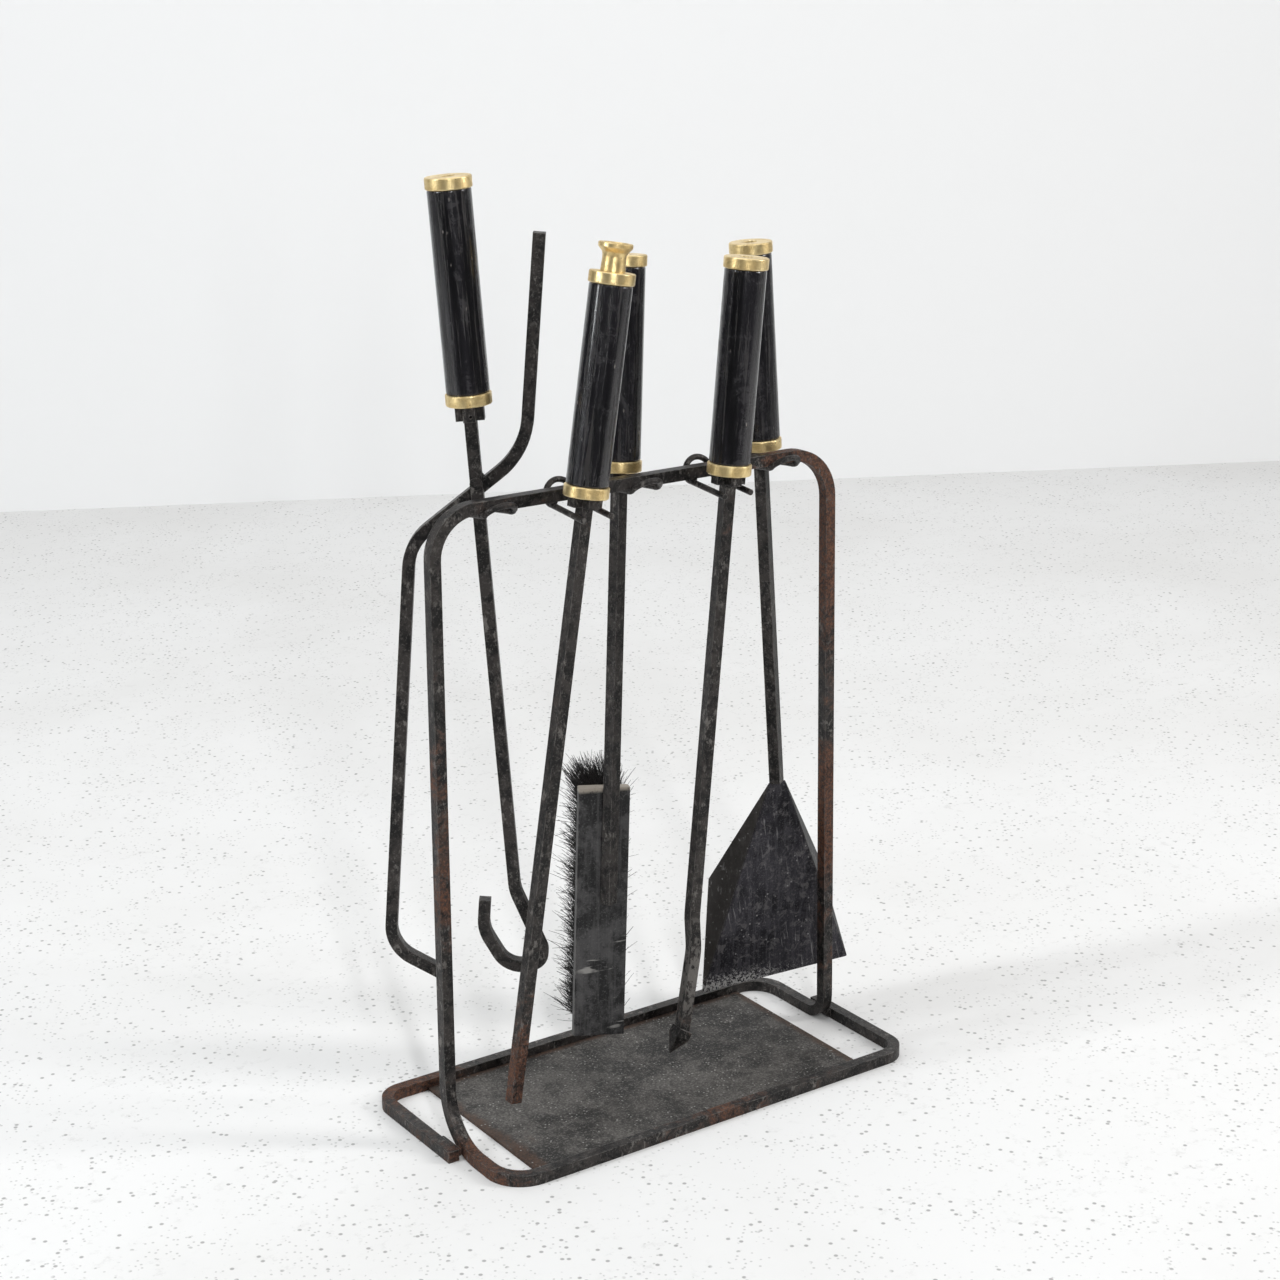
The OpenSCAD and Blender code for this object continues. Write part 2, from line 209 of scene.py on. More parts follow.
def blackened_iron(name, rust_level=0.5, spots=(), gloss=0.42, scraped=()):
    """Forge-black bar: rubbed edges, pits and dust.

    spots are places of brown rust, each with its reach and strength; scraped are places of pale
    flakes, each with its reach.
    """
    f = Finish(name)
    broad = f.noise(14, 5, 0.6)
    blotch = f.noise(85, 6, 0.68, warp=0.7)
    grit = f.noise(560, 4, 0.75)
    flake = f.noise(230, 5, 0.72, at=f.stretch((1, 1, 0.55)))
    pits = f.between(f.cells(430, f.stretch((1, 1, 0.5))), 0.30, 0.05)
    rust = broad * 0.5 + blotch * 0.5
    for spot, reach, gain in spots:
        rust = rust + f.near(spot, reach) * gain
    rust_from = 0.66 - 0.2 * rust_level
    rust_full = 0.80 - 0.2 * rust_level
    rust = f.between(rust, rust_from, rust_full) * f.between(grit, 0.32, 0.55)
    worn = f.edge(0.9 * MM) * f.between(f.noise(110, 5, 0.7), 0.40, 0.60)
    dust = f.between(flake, 0.54, 0.62) * f.between(f.noise(38, 4, 0.6), 0.42, 0.58)
    for spot, reach in scraped:
        dust = dust.over(f.between(flake + f.near(spot, reach) * 0.16, 0.60, 0.64) * f.near(spot, reach))
    coat = f.blend(f.between(blotch, 0.40, 0.60), FORGE_BLACK, FADED_BLACK)
    coat = f.blend(f.between(grit, 0.54, 0.64) * 0.7, coat, IRON_GRIT)
    coat = f.blend(dust * 0.55, coat, IRON_DUST)
    brown = f.blend(f.between(grit, 0.35, 0.65), DEEP_RUST, BRIGHT_RUST)
    colour = f.blend(rust * 0.80, coat, brown)
    colour = f.blend(worn * 0.60, colour, BARE_IRON)
    height = grit * 0.4 + blotch * 1.1 + flake * 0.5 - pits * 0.6 + rust * grit * 0.9
    return close(f, Base_Color=colour,
                 Roughness=f.scale(grit * 0.4 + blotch * 0.35 + rust * 0.4, gloss - 0.14, gloss + 0.34),
                 Metallic=f.scale(worn, 0.3, 0.8),
                 Normal=f.bump(height, 0.34 * MM, f.rounded(0.7 * MM)),
                 Specular_IOR_Level=0.34)


# ---- ash plate -------------------------------------------------------------------------------------
SOOT = (0.022, 0.0208, 0.0198)
ASH = (0.072, 0.067, 0.062)
PALE_ASH = (0.115, 0.108, 0.100)
DARK_SOOT = (0.013, 0.0122, 0.0115)
ASH_GRAIN = (0.20, 0.19, 0.178)
SOOT_GRAIN = (0.014, 0.013, 0.012)
PLATE_RUST = (0.075, 0.036, 0.020)
CINDER = (0.36, 0.35, 0.33)
PLATE_END_RUST = 16 * MM
PLATE_FAR_END_RUST = 14 * MM
PLATE_SIDE_RUST = 12 * MM


def ash_sheet():
    """Dull sheet with soot, ash dust, small pale specks and rust creeping in from the edges."""
    f = Finish("ash_sheet")
    low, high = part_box("ash_plate")
    broad = f.noise(9, 6, 0.65, warp=0.4)
    cloud = f.noise(42, 6, 0.7)
    grit = f.noise(700, 3, 0.7)
    specks = f.between(f.cells(190, flat=True), 0.15, 0.06) * f.between(f.noise(60, 3), 0.50, 0.58)
    dents = f.noise(22, 2, 0.4)
    along = f.axis("X")
    across = f.axis("Y")
    rim = f.between(along, low.x + PLATE_END_RUST, low.x)
    rim = rim.over(f.between(along, high.x - PLATE_FAR_END_RUST, high.x))
    rim = rim.over(f.between(across, low.y + PLATE_SIDE_RUST, low.y))
    rim = rim.over(f.between(across, high.y - PLATE_SIDE_RUST, high.y))
    corner = f.near((low.x, low.y + 0.03, 0), 0.09)
    rust = f.between(rim * 0.45 + cloud * 0.75 + corner * 0.25, 0.60, 0.86)
    rust = rust * f.between(grit, 0.30, 0.6)
    soot = f.blend(f.between(broad, 0.40, 0.58), SOOT, ASH)
    soot = f.blend(f.between(cloud, 0.48, 0.60) * 0.6, soot, PALE_ASH)
    soot = f.blend(f.between(cloud, 0.47, 0.39) * 0.6, soot, DARK_SOOT)
    soot = f.blend(f.between(grit, 0.53, 0.62) * 0.55, soot, ASH_GRAIN)
    soot = f.blend(f.between(grit, 0.46, 0.38) * 0.6, soot, SOOT_GRAIN)
    colour = f.blend(rust * 0.8, soot, PLATE_RUST)
    colour = f.blend(specks * 0.8, colour, CINDER)
    height = dents * 4 + cloud * 0.8 + grit * 0.22 + specks * 0.3
    return close(f, Base_Color=colour,
                 Roughness=f.scale(cloud * 0.6 + grit * 0.4, 0.44, 0.78),
                 Metallic=0.2,
                 Normal=f.bump(height, 0.30 * MM, f.rounded(0.4 * MM)),
                 Specular_IOR_Level=0.28)


# ---- brass -----------------------------------------------------------------------------------------
PALE_BRASS = (0.86, 0.68, 0.35)
WARM_BRASS = (0.72, 0.54, 0.25)
BRASS_STAIN = (0.36, 0.245, 0.100)
BRASS_DIRT = (0.055, 0.035, 0.018)
RUBBED_BRASS = (0.95, 0.83, 0.58)


def aged_brass():
    """Turned brass: fine lathe lines, brown patina in patches, rubbed bright edges."""
    f = Finish("aged_brass")
    patch = f.noise(75, 6, 0.7, warp=0.9)
    fine = f.noise(480, 4, 0.75)
    lathe = f.noise(90, 3, 0.6, at=f.stretch((1, 1, 34)))
    stain = f.between(patch * 0.7 + fine * 0.3, 0.46, 0.66)
    dots = f.between(f.cells(300), 0.20, 0.08) * f.between(f.noise(120, 3), 0.48, 0.60)
    bright = f.edge(0.8 * MM)
    colour = f.blend(f.between(patch, 0.35, 0.65), PALE_BRASS, WARM_BRASS)
    colour = f.blend(stain * 0.60, colour, BRASS_STAIN)
    colour = f.blend(dots * 0.85, colour, BRASS_DIRT)
    colour = f.blend(bright * (1 - stain * 0.6) * 0.7, colour, RUBBED_BRASS)
    height = lathe * 0.7 + fine * 0.6 + patch * 0.8 - dots * 0.8
    return close(f, Base_Color=colour,
                 Roughness=stain * 0.20 + fine * 0.20 + dots * 0.3 + 0.24,
                 Metallic=f.scale(dots.over(stain * 0.4), 1.0, 0.6),
                 Normal=f.bump(height, 0.13 * MM, f.rounded(0.7 * MM)))


# ---- wooden grips ----------------------------------------------------------------------------------
GRIP_BLACK = (0.0030, 0.0028, 0.0036)
GRIP_SHEEN = (0.0110, 0.0102, 0.0125)
GRIP_RUBBED = (0.045, 0.042, 0.045)
GRIP_PORES = (0.060, 0.054, 0.052)
GRIP_CHIPS = (0.19, 0.17, 0.155)


def black_grip(tool):
    """Black lacquered wood; the grain runs along the tool's own grip."""
    f = Finish(f"black_grip_{tool}")
    axis = grip_axis(tool)
    pitch = (math.atan2(axis.y, axis.z), -math.asin(axis.x), 0)
    grain = f.noise(420, 5, 0.65, at=f.stretch((1, 1, 0.04), pitch), warp=0.3)
    streak = f.noise(130, 5, 0.62, at=f.stretch((1, 1, 0.06), pitch))
    patch = f.noise(60, 6, 0.72, warp=0.8)
    fine = f.noise(820, 3, 0.75)
    pores = f.between(grain, 0.48, 0.36)
    chips = f.between(f.cells(210, f.stretch((1, 1, 0.4), pitch)), 0.16, 0.05)
    chips = chips * f.between(f.noise(60, 4), 0.52, 0.60)
    rubbed = f.between(patch * 0.65 + streak * 0.4, 0.52, 0.66)
    colour = f.blend(f.between(streak, 0.38, 0.62), GRIP_BLACK, GRIP_SHEEN)
    colour = f.blend(rubbed * 0.45, colour, GRIP_RUBBED)
    colour = f.blend(pores * 0.35, colour, GRIP_PORES)
    colour = f.blend(chips * 0.8, colour, GRIP_CHIPS)
    rough = rubbed * 0.20 + pores * 0.20 + fine * 0.16 + chips * 0.3 + 0.09
    height = grain * 1.2 - pores * 0.9 + streak * 1.3 + patch * 1.2 - chips * 1.0 + fine * 0.35
    return close(f, Base_Color=colour, Roughness=rough, Normal=f.bump(height, 0.20 * MM),
                 Coat_Weight=f.scale(pores.over(rubbed * 0.7), 0.45, 0.05), Coat_Roughness=0.09,
                 Specular_IOR_Level=0.36)


# ---- brush -----------------------------------------------------------------------------------------
PAINT_BLACK = (0.0080, 0.0077, 0.0080)
PAINT_FADED = (0.052, 0.0500, 0.0505)
PAINT_GRIT = (0.13, 0.128, 0.126)
PAINT_GRAIN = (0.090, 0.087, 0.086)
PAINT_EDGE = (0.20, 0.19, 0.17)
PAINT_SCUFF = (0.34, 0.33, 0.31)
BARE_WOOD = (0.33, 0.29, 0.24)
HAIR_DARK = (0.0040, 0.0037, 0.0036)
HAIR_BROWN = (0.018, 0.0155, 0.0140)
BLOCK_LEAN = (0.04, -0.07, 0)
SCUFF_LEAN = (0, 0.05, 0)


def block_paint():
    """Black painted wood with scuffs; bare pale wood shows at the worn upper end and edges."""
    f = Finish("block_paint")
    top_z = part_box("brush_block")[1].z
    rise = f.axis("Z")
    patch = f.noise(60, 6, 0.7)
    fine = f.noise(800, 4, 0.7)
    grain = f.noise(260, 4, 0.6, at=f.stretch((1, 1, 0.06), BLOCK_LEAN))
    bare = f.between(rise, top_z - 4.5 * MM, top_z - 1.5 * MM)
    worn = f.edge(1.0 * MM) * f.between(patch, 0.40, 0.62)
    tick = f.noise(60, 3, 0.5, at=f.stretch((0.5, 0.5, 5.5), SCUFF_LEAN), warp=0.6)
    scuff = f.between(tick, 0.58, 0.64) * f.between(f.noise(34, 3), 0.46, 0.56)
    scuff = scuff * f.between(rise, top_z - 85 * MM, top_z - 115 * MM)
    colour = f.blend(f.between(patch, 0.41, 0.59), PAINT_BLACK, PAINT_FADED)
    colour = f.blend(f.between(fine, 0.54, 0.66) * 0.45, colour, PAINT_GRIT)
    colour = f.blend(f.between(grain, 0.50, 0.62) * 0.35, colour, PAINT_GRAIN)
    colour = f.blend(worn * 0.55, colour, PAINT_EDGE)
    colour = f.blend(scuff * 0.65, colour, PAINT_SCUFF)
    colour = f.blend(bare * f.between(patch + fine * 0.3, 0.42, 0.60) * 0.9, colour, BARE_WOOD)
    height = grain * 0.9 + fine * 0.2 - scuff * 0.6
    return close(f, Base_Color=colour,
                 Roughness=f.scale(patch * 0.5 + fine * 0.5 + worn * 0.2, 0.36, 0.70),
                 Normal=f.bump(height, 0.14 * MM, f.rounded(0.9 * MM)),
                 Specular_IOR_Level=0.28)


def black_hair():
    """Stiff dark hair with a few browner spots."""
    f = Finish("black_hair")
    tone = f.noise(520, 3, 0.6)
    colour = f.blend(tone, HAIR_DARK, HAIR_BROWN)
    return close(f, Base_Color=colour, Roughness=f.scale(tone, 0.36, 0.6), Specular_IOR_Level=0.12)


# ---- shovel blade ----------------------------------------------------------------------------------
BLADE_BLUE_BLACK = (0.0045, 0.0042, 0.0065)
BLADE_FADED = (0.024, 0.0225, 0.028)
BLADE_BRUSHED = (0.056, 0.053, 0.060)
BLADE_MOTTLE = (0.110, 0.104, 0.106)
BLADE_GRIT = (0.13, 0.125, 0.128)
BLADE_RUBBED = (0.125, 0.118, 0.120)
# Painted light: a lighter grey-brown for the blade's left wall, where the light falls.
LEFT_WALL_PAINTED_LIGHT = (0.050, 0.0455, 0.040)
# Painted shade: a near black for the blade's right wall, which faces away from the light.
RIGHT_WALL_PAINTED_SHADE = (0.0040, 0.0038, 0.0042)
BLADE_SCRATCH = (0.34, 0.33, 0.33)
LIP_FLAKE = (0.52, 0.51, 0.50)
# Painted highlight: a light tone along the blade's edges and creases.
BLADE_EDGE_HIGHLIGHT = (0.17, 0.16, 0.16)
LEFT_WALL_WAY = (-0.90, -0.40, 0.20)
RIGHT_WALL_WAY = (0.68, -0.67, 0.30)


def blade_black():
    """Blue-black sheet, fine scratches down the pan, flecked and bright along the lip."""
    f = Finish("blade_black")
    low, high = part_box("shovel_blade")
    rise = f.axis("Z")
    across = f.axis("X")
    cloud = f.noise(26, 6, 0.65, warp=0.5)
    fine = f.noise(760, 4, 0.7)
    brushed = f.noise(300, 4, 0.65, at=f.stretch((1, 1, 0.05), (0.03, 0, 0)))
    nicks = f.noise(430, 3, 0.6, at=f.stretch((1, 1, 0.09), (0, 0.15, 0)), warp=0.4)
    scratch = f.between(nicks, 0.58, 0.66) * f.between(f.noise(24, 4, 0.6), 0.46, 0.60)
    scratch = scratch * f.between(cloud, 0.40, 0.56)
    lip = f.between(rise, low.z + 18 * MM, low.z + 4 * MM)
    lip = lip * f.scale(f.between(across, high.x - 20 * MM, low.x + 30 * MM), 0.25, 1.0)
    flake = f.between(f.noise(480, 4, 0.8) + lip * 0.13, 0.60, 0.65) * lip
    dots = f.between(f.cells(230), 0.20, 0.08) * f.between(f.noise(80, 3), 0.47, 0.56)
    mottle = f.noise(150, 6, 0.72, warp=0.6)
    colour = f.blend(f.between(cloud, 0.42, 0.58), BLADE_BLUE_BLACK, BLADE_FADED)
    colour = f.blend(f.between(brushed, 0.46, 0.60) * 0.45, colour, BLADE_BRUSHED)
    colour = f.blend(f.between(mottle, 0.53, 0.61) * 0.55, colour, BLADE_MOTTLE)
    colour = f.blend(f.between(fine, 0.53, 0.63) * 0.30, colour, BLADE_GRIT)
    painted_light_wall = f.facing(LEFT_WALL_WAY)
    painted_shade_wall = f.facing(RIGHT_WALL_WAY)
    pan_spot = ((low.x + high.x) / 2 + 12 * MM, low.y, low.z + 92 * MM)
    rubbed = f.near(pan_spot, 38 * MM) * f.between(mottle, 0.44, 0.60)
    colour = f.blend(rubbed * 0.45, colour, BLADE_RUBBED)
    # Painted light: the side of the blade that faces left is lightened.
    colour = f.blend(painted_light_wall * 0.70, colour, LEFT_WALL_PAINTED_LIGHT)
    # Painted shade: the side of the blade that faces right is darkened.
    colour = f.blend(painted_shade_wall * 0.75, colour, RIGHT_WALL_PAINTED_SHADE)
    colour = f.blend((scratch * 0.35).over(dots * 0.6), colour, BLADE_SCRATCH)
    colour = f.blend(flake * 0.85, colour, LIP_FLAKE)
    # Painted highlight: the blade's edges and creases are lightened.
    colour = f.blend(f.edge(0.6 * MM) * 0.35, colour, BLADE_EDGE_HIGHLIGHT)
    rough = f.scale(cloud * 0.5 + fine * 0.3 + brushed * 0.3, 0.30, 0.62)
    metal = f.scale(flake, 0.35, 0.85)
    height = brushed * 0.35 + cloud * 1.4 + fine * 0.2 - scratch * 0.5 + flake * 0.8
    return close(f, Base_Color=colour, Roughness=rough, Metallic=metal,
                 Normal=f.bump(height, 0.14 * MM, f.rounded(0.5 * MM)),
                 Specular_IOR_Level=0.20)


# ---- room ------------------------------------------------------------------------------------------
FLOOR_DULL = (0.745, 0.740, 0.730)
FLOOR_PALE = (0.79, 0.788, 0.782)
FLOOR_WORN = (0.60, 0.595, 0.585)
FLOOR_FLECK = (0.22, 0.215, 0.21)
WALL_DULL = (0.835, 0.84, 0.84)
WALL_PALE = (0.85, 0.85, 0.85)


def floor_finish():
    """Pale worn floor with small dark flecks."""
    f = Finish("pale_floor")
    cloud = f.noise(2.2, 6, 0.6, warp=0.3)
    flecks = f.between(f.cells(68, flat=True), 0.12, 0.06) * f.between(f.noise(17, 4, 0.7), 0.48, 0.54)
    specks = f.between(f.cells(160, flat=True) + f.noise(300, 2) * 0.1, 0.23, 0.13)
    specks = specks * f.between(f.noise(31, 5, 0.75), 0.50, 0.55)
    wear = f.between(f.noise(95, 6, 0.75), 0.54, 0.66) * f.between(f.noise(9, 4, 0.6), 0.42, 0.60)
    colour = f.blend(f.between(cloud, 0.32, 0.62), FLOOR_DULL, FLOOR_PALE)
    colour = f.blend(wear * 0.5, colour, FLOOR_WORN)
    colour = f.blend((flecks * 0.70).over(specks * 0.42), colour, FLOOR_FLECK)
    return close(f, Base_Color=colour, Roughness=0.62, Specular_IOR_Level=0.35)


def wall_finish():
    f = Finish("pale_wall")
    colour = f.blend(f.noise(1.2, 3, 0.5), WALL_DULL, WALL_PALE)
    return close(f, Base_Color=colour, Roughness=0.9)


# ---- putting finishes on the carried-over nodes ----------------------------------------------------
def dress(material, *nodes):
    for node in nodes:
        slots = NODES[node].data.materials
        if not slots:
            slots.append(material)
        for at in range(len(slots)):
            slots[at] = material


def iron_by_tool():
    """The iron of each tool, rustier or paler where that tool is."""
    blow_foot = (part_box("blow_tube")[0].x, -0.025, 0.04)
    poker_foot = (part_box("poker_shaft")[0].x, -0.025, 0.045)
    poker_rust = centre("poker_shaft") + Vector((0.008, -0.003, 0.155))
    poker_spots = [(poker_rust, 0.03, 0.3), (poker_foot, 0.04, 0.14)]
    poker_scrapes = [(lowest_part("poker_shaft", 0.10), 0.075)]
    return {
        "tongs": blackened_iron("tongs_iron", 0.25, gloss=0.40),
        "blow": blackened_iron("blow_iron", 0.35, [(blow_foot, 0.10, 0.2)], 0.44),
        "brush": blackened_iron("brush_iron", 0.2, gloss=0.40),
        "poker": blackened_iron("poker_iron", 0.35, poker_spots, 0.44, poker_scrapes),
        "shovel": blackened_iron("shovel_iron", 0.25, gloss=0.42),
    }


def stand_rust():
    """Right upright, left upright, then the ring's back left corner, left end and front."""
    low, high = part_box("stand_bar")
    return [
        ((high.x - 0.012, 0, 0.375), 0.16, 0.26),
        ((high.x - 0.012, 0, 0.15), 0.13, 0.22),
        ((low.x + 0.01, 0, 0.22), 0.16, 0.14),
        ((low.x + 0.02, high.y, 0), 0.07, 0.26),
        ((low.x, -0.05, 0), 0.06, 0.2),
        ((0.0, low.y, 0), 0.09, 0.14),
    ]


stand_iron = blackened_iron("stand_iron", 0.5, stand_rust())
hook_iron = blackened_iron("hook_iron", 0.35, gloss=0.42)
TOOL_IRON = iron_by_tool()
brass = aged_brass()
dress(stand_iron, "stand_bar")
dress(ash_sheet(), "ash_plate")
dress(hook_iron, *[f"hook_{tool}" for tool in BODY_OF])
for tool, iron in TOOL_IRON.items():
    dress(brass, f"{tool}_cap", f"{tool}_ferrule")
    dress(black_grip(tool), f"{tool}_handle")
    dress(iron, f"{tool}_collar")
dress(brass, "blow_mouthpiece")
dress(TOOL_IRON["tongs"], "tongs_arm", "tongs_lever", "tongs_rivet")
dress(TOOL_IRON["blow"], "blow_tube")
for tool in ("brush", "poker", "shovel"):
    dress(TOOL_IRON[tool], f"{tool}_shaft")
dress(block_paint(), "brush_block")
dress(blade_black(), "shovel_blade")


# ---- mesh helpers ----------------------------------------------------------------------------------
def new_piece(name, mesh_maker, material, body):
    """A mesh object from a bmesh maker, riding on a body."""
    mesh = bpy.data.meshes.new(name)
    shape = bmesh.new()
    mesh_maker(shape)
    shape.to_mesh(mesh)
    shape.free()
    mesh.materials.append(material)
    for face in mesh.polygons:
        face.use_smooth = True
    piece = bpy.data.objects.new(name, mesh)
    bpy.context.scene.collection.objects.link(piece)
    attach(piece, body)
    return piece


def skin(shape, rings):
    """Walls between rings of points, and a lid on each end."""
    around = len(rings[0])
    for first, second in zip(rings, rings[1:]):
        for turn in range(around):
            after = (turn + 1) % around
            shape.faces.new((first[turn], first[after], second[after], second[turn]))
    shape.faces.new(rings[-1])
    shape.faces.new(rings[0][::-1])


def flat_directions(node):
    """Normals of a node's flat sides, the widest side first."""
    sides = []
    for face in NODES[node].data.polygons:
        for side in sides:
            if side[1].dot(face.normal) > 0.999:
                side[0] += face.area
                break
        else:
            sides.append([face.area, face.normal.copy()])
    return [normal for area, normal in sorted(sides, key=lambda side: -side[0])]


# ---- bristles --------------------------------------------------------------------------------------
BRISTLE_ROWS = 5
TUFTS_IN_ROW = 28
HAIRS_IN_TUFT = 62
TUFT_RADIUS = 2.5 * MM
TUFT_STRETCH = 1.25
SIDE_MARGIN = 3.4 * MM
END_MARGIN = 6.5 * MM
ROOT_DEPTH = 1.5 * MM
ROW_SPLAY = 0.16
TUFT_SPREAD = 0.05
UPWARD_LEAN = 0.10
TOP_SPLAY = 0.36
HAIR_STRAY = 0.10
WILD_STRAY = 0.27
TIDY_SHARE = 0.8
HAIR_SAG = 0.09
HAIR_TAPER = 0.55
HAIR_STEPS = 4
HAIR_SIDES = 3


def hair(shape, root, way, length, thick, seed):
    """One hair: a three-sided taper in four steps, bent a little."""
    side = way.cross(UP).normalized()
    lift = side.cross(way).normalized()
    bend = side * (seed.uniform(-1, 1) * HAIR_SAG) + lift * (seed.uniform(-1.0, 0.6) * HAIR_SAG)
    rings = []
    for step in range(HAIR_STEPS + 1):
        t = step / HAIR_STEPS
        point = root + way * (length * t) + bend * (length * t * t)
        radius = thick * (1 - HAIR_TAPER * t)
        angles = [math.tau * turn / HAIR_SIDES for turn in range(HAIR_SIDES)]
        rings.append([shape.verts.new(point + (side * math.cos(angle) + lift * math.sin(angle)) * radius)
                      for angle in angles])
    skin(shape, rings)


def bristles():
    """Tufts of hair in rows on the back of the block, splayed towards its edges."""
    points = [v.co.copy() for v in NODES["brush_bristles"].data.vertices]
    sides = flat_directions("brush_bristles")
    across = sides[0]
    from_block = centre("brush_bristles") - centre("brush_block")
    out = max(sides, key=lambda side: side.dot(from_block))
    out = (out - across * out.dot(across)).normalized()
    along = across.cross(out).normalized()
    if along.z < 0:
        along = -along
    reach = [(min(p.dot(way) for p in points), max(p.dot(way) for p in points))
             for way in (across, out, along)]
    (left, right), (root, tip), (foot, head) = reach
    half_width = (right - left) / 2 - SIDE_MARGIN
    half_height = (head - foot) / 2 - END_MARGIN
    seed = random.Random(7)

    def fill(shape):
        for row in range(BRISTLE_ROWS):
            u = (row + 0.5) / BRISTLE_ROWS * 2 - 1
            for tuft in range(TUFTS_IN_ROW):
                v = (tuft + 0.5) / TUFTS_IN_ROW * 2 - 1
                spot = (across * ((left + right) / 2 + u * half_width)
                        + along * ((foot + head) / 2 + v * half_height) + out * (root - ROOT_DEPTH))
                splay = u * ROW_SPLAY + seed.gauss(0, TUFT_SPREAD)
                rise = UPWARD_LEAN + TOP_SPLAY * max(v, 0) ** 4 + seed.gauss(0, TUFT_SPREAD)
                lean = across * splay + along * rise
                for each in range(HAIRS_IN_TUFT):
                    angle = seed.uniform(0, math.tau)
                    far = TUFT_RADIUS * math.sqrt(seed.random())
                    start = (spot + across * math.cos(angle) * far
                             + along * math.sin(angle) * far * TUFT_STRETCH)
                    stray = HAIR_STRAY if seed.random() < TIDY_SHARE else WILD_STRAY
                    way = out + lean + across * seed.gauss(0, stray) + along * seed.gauss(0, stray)
                    length = (tip - root) * seed.uniform(0.76, 0.99)
                    thick = seed.uniform(0.22, 0.34) * MM
                    hair(shape, start, way.normalized(), length, thick, seed)

    piece = new_piece("bristle_tufts", fill, black_hair(), "brush")
    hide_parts("brush_bristles")


# ---- welds -----------------------------------------------------------------------------------------
WELD_SIDES = 12
RIPPLE = 0.10
LUMP = 0.22


def weld(name, start, end, radius, body, material, seed_value):
    """A lumpy run of weld metal from start to end."""
    axis = (end - start).normalized()
    side = axis.cross(UP if abs(axis.z) < 0.9 else Vector((1, 0, 0))).normalized()
    lift = side.cross(axis)
    length = (end - start).length
    steps = max(6, round(length / (0.45 * radius)))
    phase = random.Random(seed_value).uniform(0, math.tau)

    def fill(shape):
        loops = []
        for step in range(steps + 1):
            t = step / steps
            spot = start + axis * (length * t)
            round_off = math.sqrt(max(0.0, 1 - (2 * t - 1) ** 4))
            ripple = 1 + RIPPLE * math.sin(phase + step * 2.1)
            loop = []
            for turn in range(WELD_SIDES):
                angle = math.tau * turn / WELD_SIDES
                lump = 1 + LUMP * noise.noise(spot / radius * 0.8 + Vector((turn * 0.4, phase, 0)))
                size = radius * max(0.05, round_off) * ripple * lump
                loop.append(shape.verts.new(spot + side * math.cos(angle) * size
                                            + lift * math.sin(angle) * size))
            loops.append(loop)
        skin(shape, loops)

    return new_piece(name, fill, material, body)


HOOK_BEAD = 1.5 * MM
HOOK_BEAD_HALF = 3.2 * MM
HOOK_BEAD_IN = 2 * MM
BAR_SIDE = 8 * MM
BAR_FACE = 3.6 * MM
BRUSH_BEAD = 1.6 * MM
NECK_BEAD = 2.6 * MM
NECK_BEAD_HALF = Vector((5.5 * MM, 0, 0))


def hook_welds():
    """Four beads for each hook, where its wire meets the underside of the bar."""
    bead_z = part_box("stand_bar")[1].z - BAR_SIDE - 0.2 * MM
    for count, tool in enumerate(BODY_OF):
        low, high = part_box(f"hook_{tool}")
        for side, x in (("left", low.x + HOOK_BEAD_IN), ("right", high.x - HOOK_BEAD_IN)):
            for face, y in (("front", -BAR_FACE), ("back", BAR_FACE)):
                start = Vector((x - HOOK_BEAD_HALF, y, bead_z))
                end = Vector((x + HOOK_BEAD_HALF, y, bead_z))
                weld(f"hook_weld_{tool}_{side}_{face}", start, end, HOOK_BEAD, "stand", hook_iron,
                     10 * count + len(face))


def tool_welds():
    """A bead under the brush's shaft and one round the shovel's neck."""
    across = flat_directions("brush_bristles")[0]
    across = across if across.x > 0 else -across
    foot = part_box("brush_shaft")[0] + Vector((4.5, 4.2, 1.0)) * MM
    weld("brush_weld", foot - across * 4.5 * MM, foot + across * 4.8 * MM + UP * 2 * MM, BRUSH_BEAD,
         "brush", TOOL_IRON["brush"], 91)
    low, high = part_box("shovel_shaft")
    neck = Vector((high.x - 5.5 * MM, low.y + 5.5 * MM, low.z + 1.5 * MM))
    weld("neck_weld", neck - NECK_BEAD_HALF, neck + NECK_BEAD_HALF, NECK_BEAD,
         "shovel", TOOL_IRON["shovel"], 55)


# ---- room, light and camera ------------------------------------------------------------------------
CAMERA_AT = Vector((-0.8824, -1.2765, 0.7966))
CAMERA_AZIMUTH = math.radians(-34.58)
CAMERA_ELEVATION = math.radians(16.95)
CAMERA_ROLL = math.radians(-0.42)
CAMERA_LENS = 68.41
SENSOR_WIDTH = 36
ROOM_TURN = math.radians(-26.5)
FLOOR_HALF_WIDTH = 6.0
FLOOR_NEAR = -1.15
FLOOR_FAR = 1.79
WALL_HEIGHT = 4
DAYLIGHT = (0.97, 0.985, 1.0, 1)
DAYLIGHT_ON_THINGS = 0.09
DAYLIGHT_AS_BACKDROP = 0.90
SET_MIDDLE = (0, 0, 0.35)


def sheet_piece(name, corners, material):
    mesh = bpy.data.meshes.new(name)
    mesh.from_pydata(corners, [], [tuple(range(len(corners)))])
    mesh.materials.append(material)
    piece = bpy.data.objects.new(name, mesh)
    bpy.context.scene.collection.objects.link(piece)


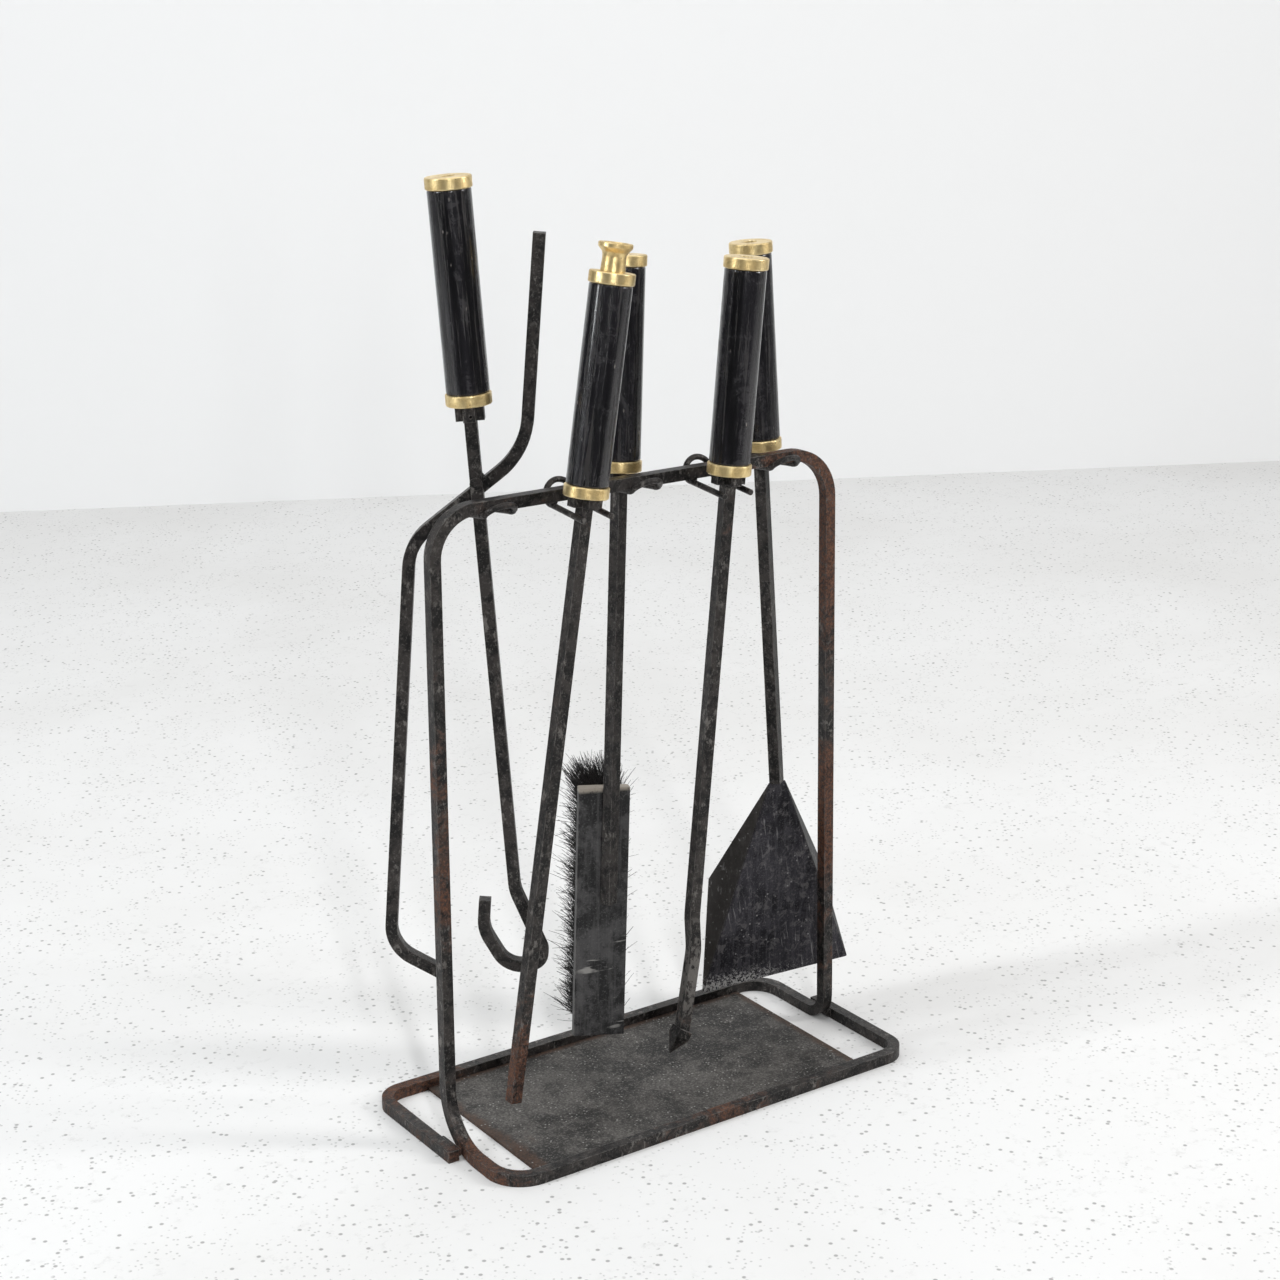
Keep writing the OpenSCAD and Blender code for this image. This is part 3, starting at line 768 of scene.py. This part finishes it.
def place_camera():
    data = bpy.data.cameras.new("camera")
    data.lens = CAMERA_LENS
    data.sensor_width = SENSOR_WIDTH
    back = Vector((math.sin(CAMERA_AZIMUTH) * math.cos(CAMERA_ELEVATION),
                   -math.cos(CAMERA_AZIMUTH) * math.cos(CAMERA_ELEVATION),
                   math.sin(CAMERA_ELEVATION)))
    level = Vector((math.cos(CAMERA_AZIMUTH), math.sin(CAMERA_AZIMUTH), 0))
    above = back.cross(level)
    right = level * math.cos(CAMERA_ROLL) + above * math.sin(CAMERA_ROLL)
    up = above * math.cos(CAMERA_ROLL) - level * math.sin(CAMERA_ROLL)
    camera = bpy.data.objects.new("camera", data)
    camera.matrix_world = Matrix.Translation(CAMERA_AT) @ Matrix((right, up, back)).transposed().to_4x4()
    bpy.context.scene.collection.objects.link(camera)
    bpy.context.scene.camera = camera


def soft_light(name, at, aim, size, power, tint=(1, 1, 1)):
    data = bpy.data.lights.new(name, "AREA")
    data.shape = "RECTANGLE"
    data.size, data.size_y = size
    data.energy = power
    data.color = tint
    light = bpy.data.objects.new(name, data)
    light.location = at
    light.rotation_euler = (Vector(aim) - Vector(at)).to_track_quat("-Z", "Y").to_euler()
    bpy.context.scene.collection.objects.link(light)


def room():
    """Floor and back wall; the floor stops short of the camera, so that gloss stays dark."""
    turn = Matrix.Rotation(ROOM_TURN, 3, "Z")
    corners = [turn @ Vector((x, y, 0)) for x, y in (
        (-FLOOR_HALF_WIDTH, FLOOR_NEAR), (FLOOR_HALF_WIDTH, FLOOR_NEAR),
        (FLOOR_HALF_WIDTH, FLOOR_FAR), (-FLOOR_HALF_WIDTH, FLOOR_FAR))]
    sheet_piece("floor", corners, floor_finish())
    rise = UP * WALL_HEIGHT
    far_right, far_left = corners[2:]
    sheet_piece("wall", [far_left, far_right, far_right + rise, far_left + rise], wall_finish())


def daylight():
    """Weak light from all round, seen as a pale backdrop where there is no wall."""
    world = bpy.data.worlds.new("daylight")
    world.use_nodes = True
    tree = world.node_tree
    backdrop = tree.nodes["Background"]
    backdrop.inputs["Color"].default_value = DAYLIGHT
    seen = tree.nodes.new("ShaderNodeLightPath")
    strength = tree.nodes.new("ShaderNodeMapRange")
    strength.inputs["To Min"].default_value = DAYLIGHT_ON_THINGS
    strength.inputs["To Max"].default_value = DAYLIGHT_AS_BACKDROP
    tree.links.new(seen.outputs["Is Camera Ray"], strength.inputs["Value"])
    tree.links.new(strength.outputs["Result"], backdrop.inputs["Strength"])
    bpy.context.scene.world = world


def studio_lights():
    """Two tall narrow windows that draw the gloss streaks, a wider one and a ceiling."""
    soft_light("window_left", (-2.5, 0.5, 1.6), SET_MIDDLE, (0.28, 1.9), 46, (0.95, 0.98, 1.0))
    soft_light("window_front", (-1.1, -2.5, 1.7), SET_MIDDLE, (0.15, 1.9), 41, (0.98, 0.99, 1.0))
    soft_light("window_right", (1.9, -1.5, 1.5), SET_MIDDLE, (0.42, 1.5), 36, (1.0, 0.99, 0.98))
    soft_light("ceiling", (0.2, 0.2, 2.7), (0, 0, 0), (2.6, 2.6), 33)


bristles()
hook_welds()
tool_welds()
place_camera()
room()
daylight()
studio_lights()

bpy.context.scene.view_settings.view_transform = "Standard"
